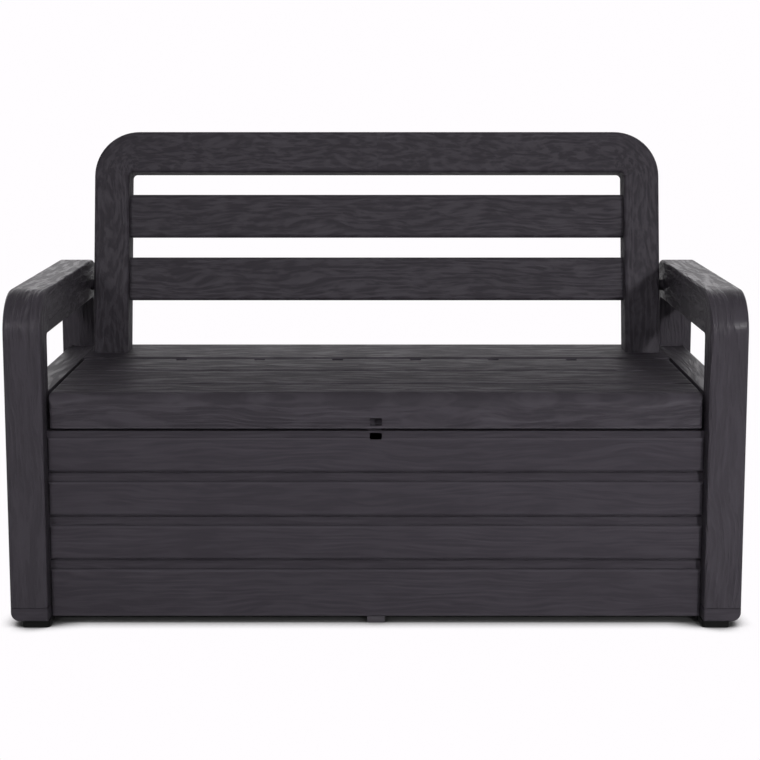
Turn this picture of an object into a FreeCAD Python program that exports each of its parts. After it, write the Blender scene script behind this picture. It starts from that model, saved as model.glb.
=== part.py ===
import FreeCAD, Part
import math
import os

# Outdoor storage bench in moulded resin. Two bent arm frames carry four slatted panels, a floor,
# a rear rail with the backrest, and a lid that swings up on six pinned knuckles.
# x runs across from the middle, y back from the front of the posts, z up from the ground.
# The last step moves y, so that the origin lies on the ground under the middle of the bench.

# Overall sizes
bench_width = 1327.0
arm_frame_depth = 590.0
arm_height = 612.5
seat_height = 428.0
back_height = 878.0

# Walls and ribs of the mouldings, and the gaps between pieces
wall = 3.5
rib_wall = 3.0
push_gap = 0.3
joint_gap = 0.5
screw_gap = 0.2
cut_over = 5.0

# Arm frames
post_width = 68.0
post_depth = 58.0
rear_post_depth = 58.0
arm_thickness = 80.5
arm_corner = 72.0
window_corner = 6.0
edge_round = 4.5

# Feet
pad_height = 12.0
pad_size = 50.0
pad_inset = 20.0
pad_round = 6.0
peg_radius = 7.0
peg_length = 9.0
cap_height = 26.0
cap_round = 16.0
cap_plug = 20.0
seam_height = 1.6
seam_depth = 1.2
centre_foot_width = 32.0
centre_foot_depth = 20.0
stem_width = 20.0
stem_depth = 11.0
stem_height = 14.0

# Slatted panels
front_recess = 28.0
rear_recess = 35.0
side_recess = 15.0
panel_depth = 26.0
low_slat = 89.0
slat_height = 62.0
groove_height = 20.0
groove_depth = 8.0
shadow_height = 5.0
shadow_depth = 11.5
slat_round = 5.0
sill_round = 3.0
rail_step = 3.0
rail_round = 2.4
end_bevel = 3.0
panel_ribs = 6
side_panel_ribs = 2
sill_lip = 32.0
ledge_height = 38.0
ledge_thickness = 4.0
ledge_reach = 12.0
ledge_short = 20.0
lip_short = 20.0

# Tabs and screws that join the panels to the posts
tab_height = 40.0
tab_thickness = 5.0
tab_length = 9.0
tab_depth = 16.0
screw_depth = 17.0
screw_radius = 2.1
screw_head_radius = 4.5
screw_head = 3.0
screw_reach = 12.0

# Floor
floor_thickness = 4.0
floor_rib = 10.0
floor_ribs_across = 7
floor_ribs_along = 3
floor_gap = 1.0

# Lid
lid_recess = 24.0
lid_side_gap = 6.0
apron_height = 63.0
lid_front_gap = 6.0
nosing_round = 24.0
plank_pitch = 133.0
plank_least = 40.0
plank_groove = 8.0
plank_groove_depth = 4.5
plank_groove_slope = 1.5
plank_round = 3.0
lid_corner = 8.0
lid_end_round = 4.0
lid_rib_drop = 28.0
lid_skirt_drop = 34.0
lid_rest_gap = 0.5
apron_lip_height = 4.0
apron_lip_proud = 1.5
apron_lip_round = 1.2

# Padlock slots in the apron and in the front panel
slot_width = 22.0
slot_round = 2.0
lid_slot_rise = 4.5
lid_slot_height = 14.5
panel_slot_drop = 15.5
panel_slot_height = 12.0
shackle_room = 28.0

# Hinge line
hinge_round = 14.0
hinge_count = 6
hinge_pitch = 157.0
ear_width = 20.0
ear_radius = 11.0
ear_gap = 1.0
knuckle_width = 14.0
knuckle_radius = 12.0
pin_radius = 4.0
pin_gap = 0.05
pin_head_radius = 6.0
pin_head = 3.0

# Rear rail
rail_depth = 160.0
rail_height = 28.0
hinge_line_gap = 6.0
rail_front_round = 4.0
rail_rear_round = 6.0
rail_ribs = 6
rail_screw_setback = 35.0
post_screw_setback = 11.0
rail_screw_drop = 20.0

# Backrest
recline = 10.0
back_setback = 105.0
back_side_gap = 10.5
stile_width = 72.0
stile_depth = 68.0
top_rail_height = 84.5
back_corner = 92.0
back_inner_corner = 9.0
back_round = 8.0
slat_recess = 22.0
back_slat_depth = 28.0
back_slat_height = 89.0
back_slat_gap = 42.0
rail_slat_gap = 44.5
back_slat_round = 7.0
back_slat_tenon = 12.0
spigot_dowel_gap = 43.0
spigot_below = 66.0
dowel_drop = 51.0
dowel_radius = 6.0
dowel_collar = 11.0
dowel_reach = 12.0

half_width = bench_width / 2
inner_half = half_width - post_width
rear_post_front = arm_frame_depth - rear_post_depth
arm_under = arm_height - arm_thickness
frame_base = pad_height + cap_height
panel_bottom = pad_height
panel_length = 2 * (inner_half - joint_gap)
side_panel_length = rear_post_front - post_depth - 2 * joint_gap
side_panel_depth = post_width - side_recess
side_panel_middle = (post_depth + rear_post_front) / 2
end_wall = end_bevel + wall
lid_half = inner_half - lid_side_gap
apron_bottom = seat_height - apron_height
front_panel_top = apron_bottom - lid_front_gap
rear_panel_top = seat_height - rail_height
lid_rib_bottom = seat_height - lid_rib_drop
lid_skirt_bottom = seat_height - lid_skirt_drop
lid_slot_bottom = apron_bottom + lid_slot_rise
panel_slot_bottom = front_panel_top - panel_slot_drop
rail_rear = arm_frame_depth - rear_recess
rail_front = rail_rear - rail_depth
lid_rear = rail_front - hinge_line_gap
hinge_y = lid_rear - hinge_round
hinge_z = seat_height - hinge_round
lean = math.radians(recline)
back_front = rail_rear - back_setback
back_half = inner_half - back_side_gap
stile_inner = back_half - stile_width
back_rise = (back_height - seat_height - back_round * (1 - math.sin(lean))) / math.cos(lean) + back_round
slat_top = back_rise - top_rail_height - rail_slat_gap
back_reach_y = back_front + (stile_depth - back_round) * math.cos(lean)
back_reach = back_reach_y + (back_rise - back_round) * math.sin(lean) + back_round
overall_depth = max(back_reach, arm_frame_depth)
hinge_places = [(index - (hinge_count - 1) / 2) * hinge_pitch for index in range(hinge_count)]


def vector(x, y, z):
    return FreeCAD.Vector(x, y, z)


def block(x0, x1, y0, y1, z0, z1):
    return Part.makeBox(x1 - x0, y1 - y0, z1 - z0, vector(x0, y0, z0))


def rod(radius, x0, x1, y, z):
    """A round bar along x."""
    return Part.makeCylinder(radius, x1 - x0, vector(x0, y, z), vector(1, 0, 0))


def rounded_face(corners, place):
    """A flat face through corners (a, b, radius), each rounded by an arc of its radius."""
    stops = []
    for index, (a, b, radius) in enumerate(corners):
        corner = vector(a, b, 0)
        if radius == 0:
            stops.append((corner, corner, corner))
            continue
        before = vector(*corners[index - 1][:2], 0).sub(corner).normalize()
        after = vector(*corners[(index + 1) % len(corners)][:2], 0).sub(corner).normalize()
        half_angle = before.getAngle(after) / 2
        inward = before.add(after).normalize()
        setback = radius / math.tan(half_angle)
        middle = corner.add(inward.multiply(radius / math.sin(half_angle) - radius))
        stops.append((corner.add(before.multiply(setback)), middle, corner.add(after.multiply(setback))))
    edges = []
    for index, (start, middle, end) in enumerate(stops):
        last = stops[index - 1][2]
        if last.distanceToPoint(start) > 1e-6:
            edges.append(Part.makeLine(place(last), place(start)))
        if start.distanceToPoint(end) > 1e-6:
            edges.append(Part.Arc(place(start), place(middle), place(end)).toShape())
    return Part.Face(Part.Wire(edges))


def side_view(x):
    """Places an outline of (y, z) corners at one x."""
    return lambda point: vector(x, point.x, point.y)


def front_view(y):
    """Places an outline of (x, z) corners at one y."""
    return lambda point: vector(point.x, y, point.y)


def plan_view(z):
    """Places an outline of (x, y) corners at one z."""
    return lambda point: vector(point.x, point.y, z)


def run_along_x(face, x0, x1):
    """A bar with a side-view face, drawn at x = 0, as its section."""
    bar = face.extrude(vector(x1 - x0, 0, 0))
    bar.translate(vector(x0, 0, 0))
    return bar


def round_outline(shape, axis, places, radius, low):
    """Rounds the edges that lie on the given planes across an axis, above a level."""
    chosen = []
    for edge in shape.Edges:
        box = edge.BoundBox
        near, far = (box.XMin, box.XMax) if axis == "x" else (box.YMin, box.YMax)
        on_plane = any(abs(near - place) < 1e-4 and abs(far - place) < 1e-4 for place in places)
        if on_plane and box.ZMax > low + 1e-4:
            chosen.append(edge)
    return shape.makeFillet(radius, chosen)


def mirrored(shape):
    return shape.mirror(vector(0, 0, 0), vector(1, 0, 0))


def bench_to_back(shape):
    """Leans a piece that was drawn upright, front at y = 0 and seat at z = 0, into its place."""
    placed = shape.copy()
    placed.translate(vector(0, back_front, seat_height))
    placed.rotate(vector(0, back_front, seat_height), vector(1, 0, 0), -recline)
    return placed


def slat_levels(top, top_round):
    """The lowest and highest level of each slat on a panel, from the ground up."""
    levels = [(panel_bottom, panel_bottom + low_slat)]
    bottom = panel_bottom + low_slat + groove_height
    while bottom + slat_round + top_round < top:
        levels.append((bottom, min(bottom + slat_height, top)))
        bottom = bottom + slat_height + groove_height
    return levels


nodes = {}
front_slats = slat_levels(front_panel_top, slat_round)
lowest_screw_span = (frame_base + cap_plug, front_slats[0][1])
screw_spans = (lowest_screw_span, front_slats[len(front_slats) // 2], front_slats[-1])
screw_levels = [(low + high) / 2 for low, high in screw_spans]
tab_levels = [(low + high) / 2 for low, high in zip(screw_levels, screw_levels[1:])]
rail_screw_places = (rail_front + rail_screw_setback, rear_post_front + post_screw_setback)


# Arm frames: front post, arm and rear post are one hollow bend, open at the feet
def arm_outline(inset, base):
    outer_corner = arm_corner - inset
    inner_corner = window_corner + inset
    return [
        (inset, base, 0),
        (inset, arm_height - inset, outer_corner),
        (arm_frame_depth - inset, arm_height - inset, outer_corner),
        (arm_frame_depth - inset, base, 0),
        (rear_post_front + inset, base, 0),
        (rear_post_front + inset, arm_under + inset, inner_corner),
        (post_depth - inset, arm_under + inset, inner_corner),
        (post_depth - inset, base, 0),
    ]


def inner_wall_hole(radius, y, z):
    """A bar that pierces the inner wall of a right-hand arm frame."""
    return rod(radius, inner_half - cut_over, inner_half + wall + cut_over, y, z)


dowel_z = arm_height - dowel_drop
dowel_y = back_front + stile_depth / 2 / math.cos(lean) + (dowel_z - seat_height) * math.tan(lean)
dowel_rise = (dowel_z - seat_height) / math.cos(lean) + stile_depth / 2 * math.tan(lean)
front_tab_y = front_recess + tab_depth
rear_tab_y = rail_rear - tab_depth
side_tab_x = half_width - side_recess - tab_depth
front_screw_y = front_recess + screw_depth
rear_screw_y = rail_rear - screw_depth
slot_half = tab_thickness / 2 + push_gap

arm = run_along_x(rounded_face(arm_outline(0, frame_base), side_view(0)), inner_half, half_width)
arm = round_outline(arm, "x", (inner_half, half_width), edge_round, frame_base)
arm_void = rounded_face(arm_outline(wall, frame_base - cut_over), side_view(0))
arm = arm.cut(run_along_x(arm_void, inner_half + wall, half_width - wall))
for level in tab_levels:
    slot_low = level - tab_height / 2 - push_gap
    slot_high = level + tab_height / 2 + push_gap
    for tab_y in (front_tab_y, rear_tab_y):
        arm = arm.cut(block(inner_half - cut_over, inner_half + tab_length + push_gap,
                            tab_y - slot_half, tab_y + slot_half, slot_low, slot_high))
    arm = arm.cut(block(side_tab_x - slot_half, side_tab_x + slot_half,
                        post_depth - wall - cut_over, post_depth + cut_over, slot_low, slot_high))
    arm = arm.cut(block(side_tab_x - slot_half, side_tab_x + slot_half,
                        rear_post_front - cut_over, rear_post_front + wall + cut_over, slot_low, slot_high))
for level in screw_levels:
    for screw_y in (front_screw_y, rear_screw_y):
        arm = arm.cut(inner_wall_hole(screw_radius + screw_gap, screw_y, level))
arm = arm.cut(inner_wall_hole(screw_radius + screw_gap, rail_screw_places[1], seat_height - rail_screw_drop))
arm = arm.cut(inner_wall_hole(dowel_radius + push_gap, dowel_y, dowel_z))
nodes["arm_frame_right"] = arm
nodes["arm_frame_left"] = mirrored(arm)


# Feet: a cap closes each post, and a rubber pad plugs into the cap
def foot_cap(y0, y1):
    outline = [
        (inner_half, pad_height, 0),
        (half_width, pad_height, cap_round),
        (half_width, frame_base, 0),
        (inner_half, frame_base, 0),
    ]
    cap = rounded_face(outline, front_view(y0)).extrude(vector(0, y1 - y0, 0))
    edges = []
    for edge in cap.Edges:
        box = edge.BoundBox
        on_end = abs(box.YMin - box.YMax) < 1e-4
        if on_end and box.ZMin < frame_base - 1e-4:
            edges.append(edge)
    cap = cap.makeFillet(edge_round, edges)
    seam = block(inner_half, half_width, y0, y1, frame_base - seam_height, frame_base)
    neck = block(inner_half + seam_depth, half_width - seam_depth, y0 + seam_depth, y1 - seam_depth,
                 frame_base - seam_height, frame_base)
    cap = cap.cut(seam.cut(neck))
    plug_inset = wall + push_gap
    plug = block(inner_half + plug_inset, half_width - plug_inset, y0 + plug_inset, y1 - plug_inset,
                 frame_base, frame_base + cap_plug)
    plug_room = plug_inset + wall
    room = block(inner_half + plug_room, half_width - plug_room, y0 + plug_room, y1 - plug_room,
                 pad_height + peg_length + wall, frame_base + cap_plug + cut_over)
    cap = cap.fuse(plug).cut(room)
    hole = Part.makeCylinder(peg_radius + push_gap, peg_length + push_gap,
                             vector(pad_x, (y0 + y1) / 2, pad_height), vector(0, 0, 1))
    return cap.cut(hole)


def foot_pad(y):
    pad = block(pad_x - pad_size / 2, pad_x + pad_size / 2, y - pad_size / 2, y + pad_size / 2, 0, pad_height)
    upright = [edge for edge in pad.Edges if edge.BoundBox.ZLength > pad_height / 2]
    pad = pad.makeFillet(pad_round, upright)
    peg = Part.makeCylinder(peg_radius, peg_length, vector(pad_x, y, pad_height), vector(0, 0, 1))
    return pad.fuse(peg).removeSplitter()


pad_x = half_width - pad_inset - pad_size / 2
posts = {"front": (0, post_depth), "rear": (rear_post_front, arm_frame_depth)}
for place_name, (post_start, post_end) in posts.items():
    cap = foot_cap(post_start, post_end)
    pad = foot_pad((post_start + post_end) / 2)
    nodes["foot_cap_" + place_name + "_right"] = cap
    nodes["foot_cap_" + place_name + "_left"] = mirrored(cap)
    nodes["foot_pad_" + place_name + "_right"] = pad
    nodes["foot_pad_" + place_name + "_left"] = mirrored(pad)


# Slatted panels: one moulded skin with raised slats, ribs and flanges behind, open at the back
def relief(top, top_round):
    """Corners of the skin's outer side from the ground up, as (depth, z, radius)."""
    levels = slat_levels(top, top_round)
    corners = []
    for index, (low, high) in enumerate(levels):
        corners.append((0, low, slat_round))
        if index + 1 < len(levels):
            next_low = levels[index + 1][0]
            corners.append((0, high, slat_round))
            corners.append((groove_depth, high, 0))
            corners.append((groove_depth, next_low - shadow_height, 0))
            corners.append((shadow_depth, next_low - shadow_height, 0))
            corners.append((shadow_depth, next_low, 0))
        elif high < top:
            corners.append((0, high, rail_round))
            corners.append((rail_step, high, 0))
            corners.append((rail_step, top, 0))
        else:
            corners.append((0, high, top_round))
    return corners


def slatted_panel(length, top, depth, top_round, ribs):
    """A panel that faces -y at y = 0 and runs along x about its middle."""
    half = length / 2
    back = depth + wall + cut_over
    corners = relief(top, top_round) + [(back, top, 0), (back, panel_bottom, 0)]
    outside = rounded_face(corners, side_view(0))
    inside = outside.makeOffset2D(-wall, join=2)
    solid = run_along_x(outside, -half, half)
    for side in (-1, 1):
        corner = [
            (side * half, -cut_over, 0),
            (side * half, end_bevel, 0),
            (side * (half - end_bevel - cut_over), -cut_over, 0),
        ]
        wedge = rounded_face(corner, plan_view(0)).extrude(vector(0, 0, top + cut_over))
        solid = solid.cut(wedge)
    shell = solid.cut(run_along_x(inside, -half + end_wall, half - end_wall))
    stiffeners = []
    for index in range(ribs):
        x = length * (index + 1) / (ribs + 1) - half
        rib = block(x - rib_wall / 2, x + rib_wall / 2, 0, depth, panel_bottom, top)
        stiffeners.append(solid.common(rib))
    ledge = block(-half + ledge_short, half - ledge_short, wall, depth + ledge_reach,
                  ledge_height, ledge_height + ledge_thickness)
    shell = shell.fuse(stiffeners).common(block(-half, half, 0, depth, panel_bottom, top))
    shell = shell.fuse(ledge)
    for side in (-1, 1):
        for level in tab_levels:
            tab = block(-tab_length, tab_length, tab_depth - tab_thickness / 2, tab_depth + tab_thickness / 2,
                        level - tab_height / 2, level + tab_height / 2)
            tab.translate(vector(side * half, 0, 0))
            shell = shell.fuse(tab)
    return shell.removeSplitter()


def screw_rods(radius, x0, x1, y):
    """Bars at every screw level on both sides of the bench."""
    bars = []
    for level in screw_levels:
        bar = rod(radius, x0, x1, y, level)
        bars.append(bar)
        bars.append(mirrored(bar))
    return bars


def screw(x, y, z):
    """A screw that points outwards along +x, with the underside of its head at x."""
    head = rod(screw_head_radius, x - screw_head, x, y, z)
    return head.fuse(rod(screw_radius, x, inner_half + screw_reach, y, z))


def centre_foot(y):
    foot_half = centre_foot_width / 2
    foot_reach = centre_foot_depth / 2
    foot = block(-foot_half, foot_half, y - foot_reach, y + foot_reach, 0, panel_bottom)
    stem = block(-stem_width / 2, stem_width / 2, y - stem_depth / 2, y + stem_depth / 2,
                 panel_bottom, panel_bottom + stem_height)
    return foot.fuse(stem).removeSplitter()


def stem_room(y):
    half = stem_width / 2 + push_gap
    reach = stem_depth / 2 + push_gap
    return block(-half, half, y - reach, y + reach, panel_bottom - cut_over, panel_bottom + wall + cut_over)


screw_seat = inner_half - joint_gap - end_wall
front_foot_y = front_recess + panel_depth / 2
rear_foot_y = rail_rear - panel_depth / 2

front_panel = slatted_panel(panel_length, front_panel_top, panel_depth, slat_round, panel_ribs)
rest = block(-panel_length / 2 + lip_short, panel_length / 2 - lip_short, panel_depth - wall, panel_depth,
             front_panel_top - wall, lid_rib_bottom - lid_rest_gap)
front_panel = front_panel.fuse(rest)
front_panel.translate(vector(0, front_recess, 0))
slot_corners = [
    (-slot_width / 2, panel_slot_bottom, slot_round),
    (slot_width / 2, panel_slot_bottom, slot_round),
    (slot_width / 2, panel_slot_bottom + panel_slot_height, slot_round),
    (-slot_width / 2, panel_slot_bottom + panel_slot_height, slot_round),
]
panel_slot_reach = front_recess + panel_depth - wall
panel_slot = rounded_face(slot_corners, front_view(0)).extrude(vector(0, panel_slot_reach, 0))
shackle_way = block(-shackle_room / 2, shackle_room / 2, front_recess + rail_step + wall,
                    front_recess + panel_depth - wall, front_panel_top - 2 * wall, front_panel_top + wall)
front_panel = front_panel.cut(panel_slot).cut(shackle_way).cut(stem_room(front_foot_y))
for bar in screw_rods(screw_radius + screw_gap, screw_seat - wall, inner_half, front_screw_y):
    front_panel = front_panel.cut(bar)
nodes["front_panel"] = front_panel.removeSplitter()

rear_panel = slatted_panel(panel_length, rear_panel_top, panel_depth, slat_round, panel_ribs)
rear_panel.rotate(vector(0, 0, 0), vector(0, 0, 1), 180)
rear_panel.translate(vector(0, rail_rear, 0))
rear_panel = rear_panel.cut(stem_room(rear_foot_y))
for bar in screw_rods(screw_radius + screw_gap, screw_seat - wall, inner_half, rear_screw_y):
    rear_panel = rear_panel.cut(bar)
nodes["rear_panel"] = rear_panel.removeSplitter()

side_panel = slatted_panel(side_panel_length, seat_height, side_panel_depth, sill_round, side_panel_ribs)
lip = block(-side_panel_length / 2, side_panel_length / 2, side_panel_depth - wall, side_panel_depth,
            seat_height - sill_lip, seat_height)
side_panel = side_panel.fuse(lip)
side_panel.rotate(vector(0, 0, 0), vector(0, 0, 1), 90)
side_panel.translate(vector(half_width - side_recess, side_panel_middle, 0))
lip_screw = rod(screw_radius + screw_gap, inner_half - cut_over, inner_half + screw_reach,
                rail_screw_places[0], seat_height - rail_screw_drop)
side_panel = side_panel.cut(lip_screw).removeSplitter()
nodes["side_panel_right"] = side_panel
nodes["side_panel_left"] = mirrored(side_panel)

nodes["centre_foot_front"] = centre_foot(front_foot_y)
nodes["centre_foot_rear"] = centre_foot(rear_foot_y)

panel_screws = []
for screw_y in (front_screw_y, rear_screw_y):
    for level in screw_levels:
        one_screw = screw(screw_seat, screw_y, level)
        panel_screws.append(one_screw)
        panel_screws.append(mirrored(one_screw))
nodes["panel_screws"] = Part.makeCompound(panel_screws)


# Floor: a ribbed tray that lies on the ledges of the four panels
floor_half = inner_half - joint_gap - floor_gap
floor_start = front_recess + panel_depth + floor_gap
floor_end = rail_rear - panel_depth - floor_gap
floor_level = ledge_height + ledge_thickness
rib_start = front_recess + panel_depth + ledge_reach + floor_gap
rib_end = rail_rear - panel_depth - ledge_reach - floor_gap
rib_half = inner_half - ledge_reach - floor_gap
floor = block(-floor_half, floor_half, floor_start, floor_end, floor_level, floor_level + floor_thickness)
floor_ribs = []
for index in range(floor_ribs_across):
    x = 2 * rib_half * (index + 1) / (floor_ribs_across + 1) - rib_half
    floor_ribs.append(block(x - rib_wall / 2, x + rib_wall / 2, rib_start, rib_end,
                            floor_level - floor_rib, floor_level))
for index in range(floor_ribs_along):
    y = rib_start + (rib_end - rib_start) * (index + 1) / (floor_ribs_along + 1)
    floor_ribs.append(block(-rib_half, rib_half, y - rib_wall / 2, y + rib_wall / 2,
                            floor_level - floor_rib, floor_level))
nodes["floor_panel"] = floor.fuse(floor_ribs).removeSplitter()


# Lid: one moulded skin with three planks, a rolled nosing and an apron, ribs below,
# and a rolled rear edge that is cut away at each knuckle
def lid_corners(inset, bottom):
    """Corners of the lid's outer side, or of the hollow that lies one inset inside it."""
    edge = plank_round if inset == 0 else 0
    corners = [
        (lid_recess + inset, bottom, 0),
        (lid_recess + inset, seat_height - inset, nosing_round - inset),
    ]
    for middle in groove_places:
        low = seat_height - plank_groove_depth - inset
        near = middle - plank_groove / 2 - inset
        far = middle + plank_groove / 2 + inset
        corners.append((near, seat_height - inset, edge))
        corners.append((near + plank_groove_slope, low, 0))
        corners.append((far - plank_groove_slope, low, 0))
        corners.append((far, seat_height - inset, edge))
    corners.append((lid_rear - inset, seat_height - inset, hinge_round - inset))
    corners.append((lid_rear - inset, bottom, 0))
    return corners


groove_places = []
groove_place = lid_rear - plank_pitch
while groove_place > lid_recess + nosing_round + plank_least:
    groove_places.insert(0, groove_place)
    groove_place = groove_place - plank_pitch
lid_outside = rounded_face(lid_corners(0, apron_bottom), side_view(0))
lid_inside = rounded_face(lid_corners(wall, apron_bottom - cut_over), side_view(0))
lid_plan = [
    (-lid_half, lid_recess, lid_corner),
    (lid_half, lid_recess, lid_corner),
    (lid_half, lid_rear, 0),
    (-lid_half, lid_rear, 0),
]
lid_front = [
    (-lid_half, apron_bottom, 0),
    (lid_half, apron_bottom, 0),
    (lid_half, seat_height, lid_end_round),
    (-lid_half, seat_height, lid_end_round),
]
solid_lid = run_along_x(lid_outside, -lid_half, lid_half)
lid_plan_face = rounded_face(lid_plan, plan_view(apron_bottom))
lid_front_face = rounded_face(lid_front, front_view(0))
solid_lid = solid_lid.common(lid_plan_face.extrude(vector(0, 0, seat_height)))
solid_lid = solid_lid.common(lid_front_face.extrude(vector(0, lid_rear, 0)))
lid_shell = solid_lid.cut(run_along_x(lid_inside, -lid_half + wall, lid_half - wall))
lid_shell = lid_shell.cut(block(-lid_half, lid_half, lid_recess + wall, lid_rear + cut_over,
                                apron_bottom - cut_over, lid_skirt_bottom))
lid_shell = lid_shell.cut(block(-lid_half, lid_half, hinge_y, lid_rear + cut_over,
                                apron_bottom - cut_over, hinge_z))
rib_region = [lid_recess, hinge_y - hinge_round, lid_rib_bottom, seat_height]
lid_ribs = []
for index in range(hinge_count + 1):
    x = (index - hinge_count / 2) * hinge_pitch
    lid_ribs.append(solid_lid.common(block(x - rib_wall / 2, x + rib_wall / 2, *rib_region)))
for y in groove_places + [hinge_y - hinge_round]:
    lid_ribs.append(solid_lid.common(block(-lid_half, lid_half, y - rib_wall / 2, y + rib_wall / 2,
                                           lid_rib_bottom, seat_height)))
lid = lid_shell.fuse(lid_ribs)
lip_corners = [
    (lid_recess - apron_lip_proud, apron_bottom, apron_lip_round),
    (lid_recess - apron_lip_proud, apron_bottom + apron_lip_height, apron_lip_round),
    (lid_recess + wall / 2, apron_bottom + apron_lip_height, 0),
    (lid_recess + wall / 2, apron_bottom, 0),
]
lip_half = lid_half - lid_corner
lid = lid.fuse(run_along_x(rounded_face(lip_corners, side_view(0)), -lip_half, lip_half))
ear_room = ear_width / 2 + ear_gap
for x in hinge_places:
    lid = lid.cut(block(x - ear_room, x + ear_room, hinge_y - ear_radius - 2 * ear_gap, lid_rear + cut_over,
                        apron_bottom, seat_height + cut_over))
    for side in (-1, 1):
        ends = sorted((x + side * ear_room, x + side * (ear_room + knuckle_width)))
        lid = lid.fuse(rod(knuckle_radius, *ends, hinge_y, hinge_z))
lid = lid.cut(rod(pin_radius + pin_gap, -lid_half, lid_half, hinge_y, hinge_z))
lid_slot_corners = [
    (-slot_width / 2, lid_slot_bottom, slot_round),
    (slot_width / 2, lid_slot_bottom, slot_round),
    (slot_width / 2, lid_slot_bottom + lid_slot_height, slot_round),
    (-slot_width / 2, lid_slot_bottom + lid_slot_height, slot_round),
]
lid_slot = rounded_face(lid_slot_corners, front_view(0)).extrude(vector(0, lid_recess + 2 * wall, 0))
nodes["lid"] = lid.cut(lid_slot).removeSplitter()


# Rear rail: the fixed strip of seat behind the lid, with an ear for each hinge pin
def spigot_solid(inset, low, high):
    """The bar inside a right-hand stile, drawn upright."""
    return block(stile_inner + inset, back_half - inset, inset, stile_depth - inset, low, high)


rail_corners = [
    (rail_front, rear_panel_top - wall, 0),
    (rail_front, seat_height, rail_front_round),
    (rail_rear, seat_height, rail_rear_round),
    (rail_rear, rear_panel_top - wall, 0),
]
rail_face = rounded_face(rail_corners, side_view(0))
rail_solid = run_along_x(rail_face, -panel_length / 2, panel_length / 2)
rail_void = rail_face.makeOffset2D(-wall, join=2)
rail = rail_solid.cut(run_along_x(rail_void, -panel_length / 2 + wall, panel_length / 2 - wall))
rail = rail.cut(block(-panel_length / 2 + wall, panel_length / 2 - wall, rail_front + wall, rail_rear - wall,
                      rear_panel_top - 2 * wall, rear_panel_top + wall))
rail = rail.cut(block(-panel_length / 2, panel_length / 2, rail_front + wall, rail_rear + cut_over,
                      rear_panel_top - 2 * wall, rear_panel_top))
rail_stiffeners = []
for index in range(rail_ribs):
    x = panel_length * (index + 1) / (rail_ribs + 1) - panel_length / 2
    rail_stiffeners.append(block(x - rib_wall / 2, x + rib_wall / 2,
                                 rail_front + wall / 2, rail_rear - wall / 2,
                                 rear_panel_top, seat_height - wall / 2))
rail = rail.fuse(rail_stiffeners)
for x in hinge_places:
    ear = rod(ear_radius, x - ear_width / 2, x + ear_width / 2, hinge_y, hinge_z)
    web = block(x - ear_width / 2, x + ear_width / 2, hinge_y, rail_front + wall / 2,
                hinge_z - ear_radius, hinge_z)
    rail = rail.fuse(ear).fuse(web)
rail = rail.cut(rod(pin_radius + pin_gap, -lid_half, lid_half, hinge_y, hinge_z))
socket = bench_to_back(spigot_solid(wall, -stile_depth, stile_depth))
rail = rail.cut(socket).cut(mirrored(socket))
rail_screws = []
for screw_y in rail_screw_places:
    screw_z = seat_height - rail_screw_drop
    rail_end = panel_length / 2
    hole = rod(screw_radius + screw_gap, rail_end - 2 * wall, rail_end + wall, screw_y, screw_z)
    rail = rail.cut(hole).cut(mirrored(hole))
    one_screw = screw(rail_end - wall, screw_y, screw_z)
    rail_screws.append(one_screw)
    rail_screws.append(mirrored(one_screw))
nodes["rear_rail"] = rail.removeSplitter()
nodes["rail_screws"] = Part.makeCompound(rail_screws)

pins = []
for x in hinge_places:
    pin_end = ear_room + knuckle_width + joint_gap
    pin = rod(pin_radius, x - pin_end, x + pin_end, hinge_y, hinge_z)
    pins.append(pin.fuse(rod(pin_head_radius, x + pin_end, x + pin_end + pin_head, hinge_y, hinge_z)))
nodes["hinge_pins"] = Part.makeCompound(pins)


# Backrest: stiles and top rail are one hollow bend that leans back and stands on two spigots
def back_outline(inset, base):
    outer_corner = back_corner - inset
    inner_corner = back_inner_corner + inset
    under_rail = back_rise - top_rail_height
    return [
        (-back_half + inset, base, 0),
        (-stile_inner - inset, base, 0),
        (-stile_inner - inset, under_rail + inset, inner_corner),
        (stile_inner + inset, under_rail + inset, inner_corner),
        (stile_inner + inset, base, 0),
        (back_half - inset, base, 0),
        (back_half - inset, back_rise - inset, outer_corner),
        (-back_half + inset, back_rise - inset, outer_corner),
    ]


def back_slat_face(inset, base):
    """Section of a slat that starts at a level on the upright backrest."""
    near = slat_recess + inset
    far = slat_recess + back_slat_depth - inset
    corner = back_slat_round - inset
    return rounded_face([
        (near, base + inset, corner),
        (far, base + inset, corner),
        (far, base + back_slat_height - inset, corner),
        (near, base + back_slat_height - inset, corner),
    ], side_view(0))


back_foot = -stile_depth
back = rounded_face(back_outline(0, back_foot), front_view(0)).extrude(vector(0, stile_depth, 0))
back = round_outline(back, "y", (0, stile_depth), back_round, back_foot)
back_void = rounded_face(back_outline(wall, back_foot - cut_over), front_view(wall))
back = back.cut(back_void.extrude(vector(0, stile_depth - 2 * wall, 0)))
slat_bases = {
    "upper": slat_top - back_slat_height,
    "lower": slat_top - 2 * back_slat_height - back_slat_gap,
}
slat_half = stile_inner + back_slat_tenon
for slat_name, slat_base in slat_bases.items():
    mortise = run_along_x(back_slat_face(-push_gap, slat_base), -slat_half - push_gap, slat_half + push_gap)
    back = back.cut(mortise)
    slat = run_along_x(back_slat_face(0, slat_base), -slat_half, slat_half)
    slat = slat.cut(run_along_x(back_slat_face(wall, slat_base), -slat_half, slat_half))
    nodes["back_slat_" + slat_name] = bench_to_back(slat)
back = bench_to_back(back)
below_seat = block(-half_width, half_width, 0, arm_frame_depth, 0, seat_height)
dowel_bore = rod(dowel_radius + push_gap, back_half - 2 * wall, back_half + wall, dowel_y, dowel_z)
back = back.cut(below_seat).cut(dowel_bore).cut(mirrored(dowel_bore))
nodes["backrest_frame"] = back.removeSplitter()

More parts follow.
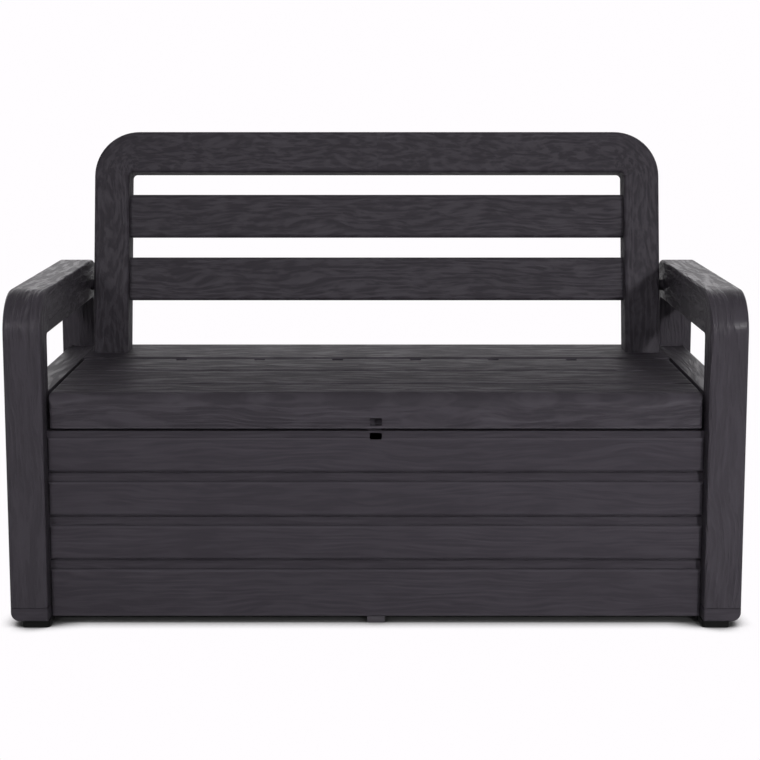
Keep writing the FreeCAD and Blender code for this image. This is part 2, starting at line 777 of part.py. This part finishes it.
spigot_above = dowel_rise - dowel_radius - spigot_dowel_gap
spigot = spigot_solid(wall + push_gap, -spigot_below, spigot_above)
spigot_bore = spigot_solid(2 * wall + push_gap, -spigot_below - cut_over, spigot_above + cut_over)
spigot = bench_to_back(spigot.cut(spigot_bore))
nodes["backrest_spigot_right"] = spigot
nodes["backrest_spigot_left"] = mirrored(spigot)

dowel = rod(dowel_radius, back_half - dowel_reach, inner_half + dowel_reach, dowel_y, dowel_z)
dowel = dowel.fuse(rod(dowel_collar, back_half, inner_half, dowel_y, dowel_z)).removeSplitter()
nodes["backrest_dowel_right"] = dowel
nodes["backrest_dowel_left"] = mirrored(dowel)


# Origin on the ground under the middle of the bench, then one file for each piece
os.makedirs("parts", exist_ok=True)
for name, shape in nodes.items():
    shape.translate(vector(0, -overall_depth / 2, 0))
    shape.exportStep("parts/" + name + ".step")
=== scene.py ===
import math
import bmesh
import bpy
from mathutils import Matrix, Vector


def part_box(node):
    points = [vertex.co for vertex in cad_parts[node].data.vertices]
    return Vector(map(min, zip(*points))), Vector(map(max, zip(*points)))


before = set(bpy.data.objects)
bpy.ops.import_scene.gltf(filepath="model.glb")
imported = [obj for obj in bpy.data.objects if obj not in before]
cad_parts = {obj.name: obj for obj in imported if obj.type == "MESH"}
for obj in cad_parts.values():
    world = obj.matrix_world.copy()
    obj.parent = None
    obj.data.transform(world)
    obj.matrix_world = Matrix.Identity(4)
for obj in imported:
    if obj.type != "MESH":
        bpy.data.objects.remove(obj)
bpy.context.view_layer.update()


# Arm frames
# Each is one hollow moulding in anthracite resin: front post, arm and rear post in one bend.
# A wood grain is embossed by the mould and follows the bend, so it runs up the posts and along the arm.
class Wire:
    """An output socket of a node, so that shader maths reads as sums and products."""

    # The Mix node has sockets for several kinds of value, and these are its colour ones.
    FIRST_COLOUR = 6
    SECOND_COLOUR = 7
    MIXED_COLOUR = 2

    def __init__(self, tree, socket):
        self.tree = tree
        self.socket = socket

    def feed(self, socket):
        """Links this wire to an input socket."""
        self.tree.links.new(self.socket, socket)

    def node(self, kind, settings, inputs, output=0):
        """Adds a node: its settings are set first, then its sockets get values or links."""
        made = self.tree.nodes.new(kind)
        for key, value in settings.items():
            setattr(made, key, value)
        for key, value in inputs.items():
            if isinstance(value, Wire):
                value.feed(made.inputs[key])
            else:
                made.inputs[key].default_value = value
        return Wire(self.tree, made.outputs[output])

    def other(self, output):
        """Another output of the same node."""
        return Wire(self.tree, self.socket.node.outputs[output])

    def calc(self, operation, *values):
        """A Math node with this wire first."""
        return self.node("ShaderNodeMath", {"operation": operation}, dict(enumerate((self,) + values)))

    def __add__(self, value):
        return self.calc("ADD", value)

    def __sub__(self, value):
        return self.calc("SUBTRACT", value)

    def __rsub__(self, value):
        return self * -1.0 + value

    def __mul__(self, value):
        return self.calc("MULTIPLY", value)

    def __truediv__(self, value):
        return self.calc("DIVIDE", value)

    __radd__ = __add__
    __rmul__ = __mul__

    def noise(self, x, y, z, detail, roughness=0.5):
        """Noise between 0 and 1 at a place that is given in noise cells."""
        place = self.node("ShaderNodeCombineXYZ", {}, {0: x, 1: y, 2: z})
        return self.node("ShaderNodeTexNoise", {}, {
            "Vector": place, "Scale": 1.0, "Detail": detail, "Roughness": roughness})

    def mix(self, start, end):
        """A colour between two others, with this wire as the share of the second."""
        colours = {"Factor": self, self.FIRST_COLOUR: start, self.SECOND_COLOUR: end}
        return self.node("ShaderNodeMix", {"data_type": "RGBA"}, colours, self.MIXED_COLOUR)

    def between(self, low, high):
        """Rises smoothly from 0 to 1 as this wire goes from low to high."""
        return self.node("ShaderNodeMapRange", {"interpolation_type": "SMOOTHSTEP"}, {
            "Value": self, "From Min": low, "From Max": high})


def new_material(name):
    """A material with an empty tree, its surface socket, and the wire of the object's own coordinates."""
    material = bpy.data.materials.new(name)
    material.use_nodes = True
    tree = material.node_tree
    tree.nodes.clear()
    output = tree.nodes.new("ShaderNodeOutputMaterial")
    coordinates = tree.nodes.new("ShaderNodeTexCoord")
    return material, output.inputs["Surface"], Wire(tree, coordinates.outputs["Object"])


RESIN_DARK = (0.0275, 0.0242, 0.0299, 1.0)
RESIN_LIGHT = (0.0475, 0.0424, 0.0512, 1.0)

# Metres: from one plank's figure to the next one's, between growth rings, and how far the grain strays
PLANK_SHIFT = 0.731
RING_SPACING = 0.0085
SWAY_REACH = 0.060
CURL_REACH = 0.016
FLECK_SLIDE = 0.05

# The levels of noise between which a fleck, a patch of rings or a pore fades in
FLECK_FADE = (0.40, 0.62)
PATCH_FADE = (0.38, 0.66)
PORE_FADE = (0.30, 0.42)

# Noise cells from one plank's flecks to the next one's
FLECK_STEP = 1.9

# Shares of the relief, then what evens out the tone and what polishes the raised grain
FLECK_RELIEF = 0.60
LINE_RELIEF = 0.30
FIBRE_RELIEF = 0.16
PORE_RELIEF = 0.10
LINE_MEAN = 0.15
FIBRE_CONTRAST = 0.5
ROUGHNESS_RANGE = 0.20
FLECK_POLISH = 0.12
FIBRE_POLISH = 0.10


def grain_resin(name, lay, least_roughness, relief, fleck_width, fleck_stretch, contrast, shine=0.38,
                tint=None):
    """Embossed resin. lay turns x, y, z into metres along the grain, metres across it and a plank number.
    relief, the depth of the embossing, and fleck_width are in metres, and fleck_stretch is the length of
    a fleck in widths. contrast is that of the flecks, and shine the specular level. tint turns x, y, z
    into a change of tone that paints light and shade: above 0 a painted highlight along an edge, below 0
    painted shade in a seam."""
    material, surface, point = new_material(name)
    split = point.node("ShaderNodeSeparateXYZ", {}, {0: point})
    place = [split.other(axis) for axis in range(3)]
    along, across, plank = lay(*place)
    along = along + plank * PLANK_SHIFT

    def layer(sideways, along_cells, across_cells, step, detail, start=0.0, roughness=0.5):
        """Noise with so many cells to a metre, a step further on in the noise for each plank."""
        depth = plank * step + start
        return point.noise(along * along_cells, sideways * across_cells, depth, detail, roughness)

    sway = layer(across, along_cells=3.2, across_cells=10.0, step=3.7, detail=1.5) - 0.5
    curl = layer(across, along_cells=9.0, across_cells=28.0, step=2.9, detail=1.0, start=7.0) - 0.5
    flow = across + sway * SWAY_REACH + curl * CURL_REACH

    fleck_along = (along + curl * FLECK_SLIDE) / (fleck_width * fleck_stretch)
    fleck_across = flow / fleck_width
    fleck_noise = point.noise(fleck_along, fleck_across, plank * FLECK_STEP, detail=2.5, roughness=0.55)
    fleck = fleck_noise.between(*FLECK_FADE)
    patch = layer(across, along_cells=4.1, across_cells=15.0, step=5.3, detail=2.0).between(*PATCH_FADE)
    rings = (flow * (math.tau / RING_SPACING)).calc("SINE") * 0.5 + 0.5
    lines = rings * rings * rings * patch
    fibre = layer(flow, along_cells=22.0, across_cells=420.0, step=1.0, detail=3.0, roughness=0.6)
    pores = layer(flow, along_cells=55.0, across_cells=900.0, step=2.3, detail=1.0).between(*PORE_FADE)

    height = fleck * FLECK_RELIEF + lines * LINE_RELIEF + fibre * FIBRE_RELIEF + pores * PORE_RELIEF
    tone = 0.5 + (fleck - 0.5) * contrast + (lines - LINE_MEAN) * contrast + (fibre - 0.5) * FIBRE_CONTRAST
    if tint:
        tone = tone + tint(*place)
    resin = point.node("ShaderNodeBsdfPrincipled", {}, {
        "Base Color": tone.mix(RESIN_DARK, RESIN_LIGHT),
        "Roughness": least_roughness + ROUGHNESS_RANGE - fleck * FLECK_POLISH - fibre * FIBRE_POLISH,
        "Specular IOR Level": shine,
        "Normal": point.node("ShaderNodeBump", {}, {"Strength": 1.0, "Distance": relief, "Height": height}),
    })
    resin.feed(surface)
    return material


def dress(material, *nodes):
    """Gives CAD nodes a material."""
    for node in nodes:
        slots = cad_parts[node].data.materials
        slots.clear()
        slots.append(material)


ARM_BEND = 0.072
LEAST_RISE = 0.0001
arm_low, arm_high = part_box("arm_frame_right")
arm_middle = (arm_low.y + arm_high.y) / 2
arm_run = (arm_high.y - arm_low.y) / 2 - ARM_BEND
arm_bend_height = arm_high.z - ARM_BEND


def along_bend(past_side, past_top, up_side, bend):
    """Grain that follows a bend: up the side, round the corner, then along the top."""
    out = past_side.calc("MAXIMUM", 0.0)
    up = past_top.calc("MAXIMUM", LEAST_RISE)
    inward = (past_side * -1.0).calc("MAXIMUM", 0.0)
    along = up_side + up.calc("ARCTAN2", out) * bend + inward
    return along, (out * out + up * up).calc("SQRT")


def corner_number(x, y):
    """A plank number for each corner of the bench: -4, -2, 2 or 4."""
    return x.calc("SIGN") + y.calc("SIGN") * 3.0


def arm_grain(x, y, z):
    """Grain that runs up the posts and over the arm."""
    past_side = (y - arm_middle).calc("ABSOLUTE") - arm_run
    along, across = along_bend(past_side, z - arm_bend_height, z.calc("MINIMUM", arm_bend_height), ARM_BEND)
    return along, across + x, corner_number(x, y)


arm_resin = grain_resin("arm_resin", arm_grain, least_roughness=0.28, relief=0.0024,
                        fleck_width=0.011, fleck_stretch=6.0, contrast=0.35, shine=0.12)
dress(arm_resin, "arm_frame_left", "arm_frame_right")


# Foot caps and pads
# A moulded resin cap is plugged into the foot of each post, below a fine seam darkened with painted shade.
# A soft black rubber pad is pegged into each cap, and the bench stands on these pads.
# How far painted shade darkens the tone at the seam, and the heights below the post over which it fades in
# and out
PAINTED_SEAM_SHADE = -0.8
SEAM_TOP = (-0.0005, 0.0)
SEAM_FOOT = (0.0014, 0.0022)
RUBBER_DARK = (0.002, 0.002, 0.002, 1.0)
RUBBER_LIGHT = (0.006, 0.006, 0.006, 1.0)


def cap_grain(x, y, z):
    """Grain that runs round the cap."""
    return x + y, z, corner_number(x, y)


def painted_seam_shade(x, y, z):
    """Painted shade along the fine line where a cap meets its post."""
    below_post = arm_low.z - z
    return below_post.between(*SEAM_TOP) * (1.0 - below_post.between(*SEAM_FOOT)) * PAINTED_SEAM_SHADE


def foot_rubber():
    """Matt rubber with a fine speckle."""
    material, surface, point = new_material("foot_rubber")
    speckle = point.node("ShaderNodeTexNoise", {}, {"Vector": point, "Scale": 700.0, "Detail": 2.0})
    rubber = point.node("ShaderNodeBsdfPrincipled", {}, {
        "Base Color": speckle.mix(RUBBER_DARK, RUBBER_LIGHT),
        "Roughness": 0.7 + speckle * 0.2,
        "Specular IOR Level": 0.15,
        "Normal": point.node("ShaderNodeBump", {}, {"Strength": 0.4, "Distance": 0.0003, "Height": speckle}),
    })
    rubber.feed(surface)
    return material


cap_resin = grain_resin("cap_resin", cap_grain, least_roughness=0.46, relief=0.0003,
                        fleck_width=0.010, fleck_stretch=4.0, contrast=0.3, shine=0.08, tint=painted_seam_shade)
pad_rubber = foot_rubber()
for place in ("front_left", "front_right", "rear_left", "rear_right"):
    dress(cap_resin, "foot_cap_" + place)
    dress(pad_rubber, "foot_pad_" + place)


# Slatted panels, floor and centre feet
# The four walls of the box are resin mouldings with raised slats, each slat with its own grain. They are
# tabbed into the posts and screwed. The floor tray and the small middle feet are of the same resin.
SLAT_PITCH = 0.082
SLAT_START = 0.029
# How far a painted highlight lightens the tone along the slat edges and the apron's lip
PAINTED_EDGE_HIGHLIGHT = 0.45

# Plank numbers that set the front panel's slats apart from the rear one's, and the left from the right
FRONT_TO_REAR = 9.0
LEFT_TO_RIGHT = 5.0

# Heights between which the painted highlight on an edge fades in or out, from the nearest groove or from the
# ground
EDGE_FADE_IN = (0.0090, 0.0105)
EDGE_FADE_OUT = (0.0120, 0.0155)
FIRST_GROOVE = (0.050, 0.060)
LOWEST_EDGE = (0.016, 0.020)


def slat_number(z):
    """Slats counted up from the ground."""
    return ((z - SLAT_START) / SLAT_PITCH).calc("FLOOR").calc("MAXIMUM", 0.0)


def wide_panel_grain(x, y, z):
    """Grain along the slats of the front and rear panels."""
    return x, z + y, slat_number(z) + y.calc("SIGN") * FRONT_TO_REAR


def side_panel_grain(x, y, z):
    """Grain along the slats of the side panels."""
    return y, z + x, slat_number(z) + x.calc("SIGN") * LEFT_TO_RIGHT


def floor_grain(x, y, z):
    """Grain along the floor tray."""
    return x, y + z, y.calc("SIGN")


def painted_slat_edge_highlights(x, y, z):
    """Painted highlight along the rounded edges on both sides of each groove and the lower edge of the
    lowest slat.
    """
    from_groove = (z - SLAT_START).calc("PINGPONG", SLAT_PITCH / 2)
    edge = from_groove.between(*EDGE_FADE_IN) * (1.0 - from_groove.between(*EDGE_FADE_OUT))
    lowest_edge = 1.0 - z.between(*LOWEST_EDGE)
    return (edge * z.between(*FIRST_GROOVE) + lowest_edge) * PAINTED_EDGE_HIGHLIGHT


panel_resin = grain_resin("panel_resin", wide_panel_grain, least_roughness=0.58, relief=0.0004,
                          fleck_width=0.010, fleck_stretch=9.0, contrast=0.3, shine=0.06, tint=painted_slat_edge_highlights)
side_resin = grain_resin("side_resin", side_panel_grain, least_roughness=0.40, relief=0.0006,
                         fleck_width=0.011, fleck_stretch=7.0, contrast=0.4)
floor_resin = grain_resin("floor_resin", floor_grain, least_roughness=0.50, relief=0.0003,
                          fleck_width=0.012, fleck_stretch=8.0, contrast=0.3)
dress(panel_resin, "front_panel", "rear_panel")
dress(side_resin, "side_panel_left", "side_panel_right")
dress(floor_resin, "floor_panel", "centre_foot_front", "centre_foot_rear")


# Rear rail and lid
# The rail is the fixed strip of seat that is screwed to the arm frames and carries the hinge ears. The lid
# is one moulded resin skin with three planks, a rolled nosing and an apron, and is pinned to those ears.
PLANK_PITCH = 0.133
# Heights above the apron's foot over which its painted highlight fades out
LIP_TOP = (0.0036, 0.0048)
lid_low, lid_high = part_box("lid")


def seat_grain(x, y, z):
    """Grain along the planks, over the nosing and down the apron."""
    plank = ((y - lid_high.y) / PLANK_PITCH).calc("FLOOR").calc("MINIMUM", 0.0)
    return x, y - z, plank


def painted_apron_lip_highlight(x, y, z):
    """Painted highlight along the fine lip at the foot of the apron."""
    return (1.0 - (z - lid_low.z).between(*LIP_TOP)) * PAINTED_EDGE_HIGHLIGHT


seat_resin = grain_resin("seat_resin", seat_grain, least_roughness=0.46, relief=0.0022,
                         fleck_width=0.014, fleck_stretch=6.0, contrast=0.6, shine=0.10, tint=painted_apron_lip_highlight)
dress(seat_resin, "lid", "rear_rail")


# Backrest
# Stiles and top rail are one hollow resin bend that leans back on two spigots; two slats are let into
# the stiles, and a dowel on each side joins the stile to the arm beside it.
RECLINE = math.radians(10.0)
BACK_BEND = 0.092
SLATS_APART = 0.131
back_low, back_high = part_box("backrest_frame")
upper_low, upper_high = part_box("back_slat_upper")
back_rise = (back_high.z - back_low.z) / math.cos(RECLINE)
upper_slat_middle = (upper_low.z + upper_high.z) / 2 - back_low.z


def leaning(y, z):
    """Metres up the leaning backrest from its front foot, and metres back from its face."""
    rise = z - back_low.z
    back = y - back_low.y
    up = rise * math.cos(RECLINE) + back * math.sin(RECLINE)
    return up, back * math.cos(RECLINE) - rise * math.sin(RECLINE)


def back_frame_grain(x, y, z):
    """Grain that runs up the stiles and over the top rail."""
    up, behind = leaning(y, z)
    past_side = x.calc("ABSOLUTE") - (back_high.x - BACK_BEND)
    bend_level = back_rise - BACK_BEND
    along, across = along_bend(past_side, up - bend_level, up.calc("MINIMUM", bend_level), BACK_BEND)
    return along, across + behind, x.calc("SIGN")


def back_slat_grain(x, y, z):
    """Grain along each slat."""
    up, behind = leaning(y, z)
    return x, up + behind, ((z - back_low.z - upper_slat_middle) / SLATS_APART).calc("ROUND")


back_resin = grain_resin("back_resin", back_frame_grain, least_roughness=0.50, relief=0.0011,
                         fleck_width=0.009, fleck_stretch=3.0, contrast=0.7, shine=0.12)
back_slat_resin = grain_resin("back_slat_resin", back_slat_grain, least_roughness=0.50, relief=0.0010,
                              fleck_width=0.009, fleck_stretch=5.0, contrast=0.7, shine=0.12)
dress(back_resin, "backrest_frame")
dress(back_slat_resin, "back_slat_upper", "back_slat_lower")
dress(cap_resin, "backrest_spigot_left", "backrest_spigot_right")
dress(cap_resin, "backrest_dowel_left", "backrest_dowel_right")


# Screws and hinge pins
# They are of zinc-plated steel, with the fine cloudy finish that plating leaves. The screws hold the
# panels and the rear rail to the arm frames, and the pins join the lid to the rail's ears.
ZINC_DARK = (0.42, 0.43, 0.45, 1.0)
ZINC_LIGHT = (0.62, 0.62, 0.63, 1.0)


def zinc_steel():
    """Bright plated steel, clouded in tone and gloss."""
    material, surface, point = new_material("zinc_steel")
    cloud = point.node("ShaderNodeTexNoise", {}, {"Vector": point, "Scale": 400.0, "Detail": 3.0})
    steel = point.node("ShaderNodeBsdfPrincipled", {}, {
        "Base Color": cloud.mix(ZINC_DARK, ZINC_LIGHT),
        "Metallic": 1.0,
        "Roughness": 0.25 + cloud * 0.2,
    })
    steel.feed(surface)
    return material


dress(zinc_steel(), "panel_screws", "rail_screws", "hinge_pins")


# Studio
# A white floor that keeps the shadow close to the feet, a white surround that is brightest behind the
# bench, two lamps in front beyond the arms, the right one stronger, and a soft lamp overhead.
WHITE = (1.0, 0.98, 1.0, 1.0)
FLOOR_HALF = 12.0
FLOOR_BOUNCE = (0.90, 0.90, 0.90, 1.0)
CONTACT_SHADE = (0.08, 0.08, 0.08, 1.0)
CONTACT_REACH = 0.065
CONTACT_FADE = (0.35, 0.83)


def white_floor():
    """White to the camera, apart from the contact shadow, and plain matt white to all other light."""
    material, surface, point = new_material("white_floor")
    camera_ray = point.node("ShaderNodeLightPath", {}, {}).other("Is Camera Ray")
    matt = point.node("ShaderNodeBsdfDiffuse", {}, {"Color": camera_ray.mix(FLOOR_BOUNCE, CONTACT_SHADE)})
    glow = point.node("ShaderNodeEmission", {}, {"Color": WHITE, "Strength": 1.0})
    openness = point.node("ShaderNodeAmbientOcclusion", {"samples": 16}, {"Distance": CONTACT_REACH}, 1)
    white = camera_ray * openness.between(*CONTACT_FADE)
    point.node("ShaderNodeMixShader", {}, {0: white, 1: matt, 2: glow}).feed(surface)
    return material


floor_shape = bmesh.new()
bmesh.ops.create_grid(floor_shape, x_segments=1, y_segments=1, size=FLOOR_HALF)
floor_mesh = bpy.data.meshes.new("studio_floor")
floor_shape.to_mesh(floor_mesh)
floor_shape.free()
floor_mesh.materials.append(white_floor())
studio_floor = bpy.data.objects.new("studio_floor", floor_mesh)
bpy.context.scene.collection.objects.link(studio_floor)

# Strengths of the surround, and where its rear half and the bright band there fade in and out
BAND_LIGHT = 1.4
REAR_LIGHT = 1.0
AMBIENT_LIGHT = 0.1
REAR_FADE = (-0.1, 0.5)
BAND_FOOT = (0.0, 0.08)
BAND_TOP = (0.50, 0.95)


def studio_world():
    """White to the camera. Gloss sees a bright band at the rear, and other light comes mostly from there."""
    world = bpy.data.worlds.new("studio")
    world.use_nodes = True
    tree = world.node_tree
    tree.nodes.clear()
    output = tree.nodes.new("ShaderNodeOutputWorld")
    direction = Wire(tree, tree.nodes.new("ShaderNodeTexCoord").outputs["Generated"])
    split = direction.node("ShaderNodeSeparateXYZ", {}, {0: direction})
    height = split.other(2)
    behind = split.other(1).between(*REAR_FADE)
    band = height.between(*BAND_FOOT) * (1.0 - height.between(*BAND_TOP))
    mirrored = behind * band * BAND_LIGHT
    scattered = behind * REAR_LIGHT + AMBIENT_LIGHT
    ray = direction.node("ShaderNodeLightPath", {}, {})
    camera_ray = ray.other("Is Camera Ray")
    glossy_ray = ray.other("Is Glossy Ray")
    soft = glossy_ray * mirrored + (1.0 - glossy_ray) * scattered
    strength = camera_ray + (1.0 - camera_ray) * soft
    background = direction.node("ShaderNodeBackground", {}, {"Color": WHITE, "Strength": strength})
    background.feed(output.inputs["Surface"])
    return world


bpy.context.scene.world = studio_world()


def soft_lamp(name, place, aim, size, spread, power):
    """A round area lamp, its spread in degrees, that the camera doesn't see."""
    data = bpy.data.lights.new(name, "AREA")
    data.shape = "DISK"
    data.size = size
    data.spread = math.radians(spread)
    data.energy = power
    lamp = bpy.data.objects.new(name, data)
    lamp.location = place
    lamp.rotation_euler = (Vector(aim) - Vector(place)).to_track_quat("-Z", "Y").to_euler()
    lamp.visible_camera = False
    bpy.context.scene.collection.objects.link(lamp)


soft_lamp("right_lamp", place=(1.60, -3.60, 1.35), aim=(0.60, 0.0, 0.15), size=0.25, spread=60.0, power=9.5)
soft_lamp("left_lamp", place=(-1.50, -3.60, 1.50), aim=(-0.60, 0.0, 0.15), size=0.50, spread=60.0, power=4.9)
soft_lamp("top_lamp", place=(0.0, -1.70, 2.60), aim=(0.0, 0.0, 0.45), size=1.00, spread=180.0, power=20.0)


# Camera
# A long lens in front of the bench and a little above its back, tilted down and partly shifted.
# Tilt does most of the framing, so that the shift stays small and other views keep the bench in frame.
CAMERA_PLACE = (0.0129, -3.1112, 1.0092)
CAMERA_TILT = math.radians(90.0 - 7.280)
camera_data = bpy.data.cameras.new("camera")
camera_data.sensor_width = 36.0
camera_data.lens = 76.07
camera_data.shift_x = -0.0039
camera_data.shift_y = -0.14
camera = bpy.data.objects.new("camera", camera_data)
camera.location = CAMERA_PLACE
camera.rotation_euler = (CAMERA_TILT, 0.0, 0.0)
bpy.context.scene.collection.objects.link(camera)
bpy.context.scene.camera = camera
bpy.context.scene.view_settings.view_transform = "Standard"
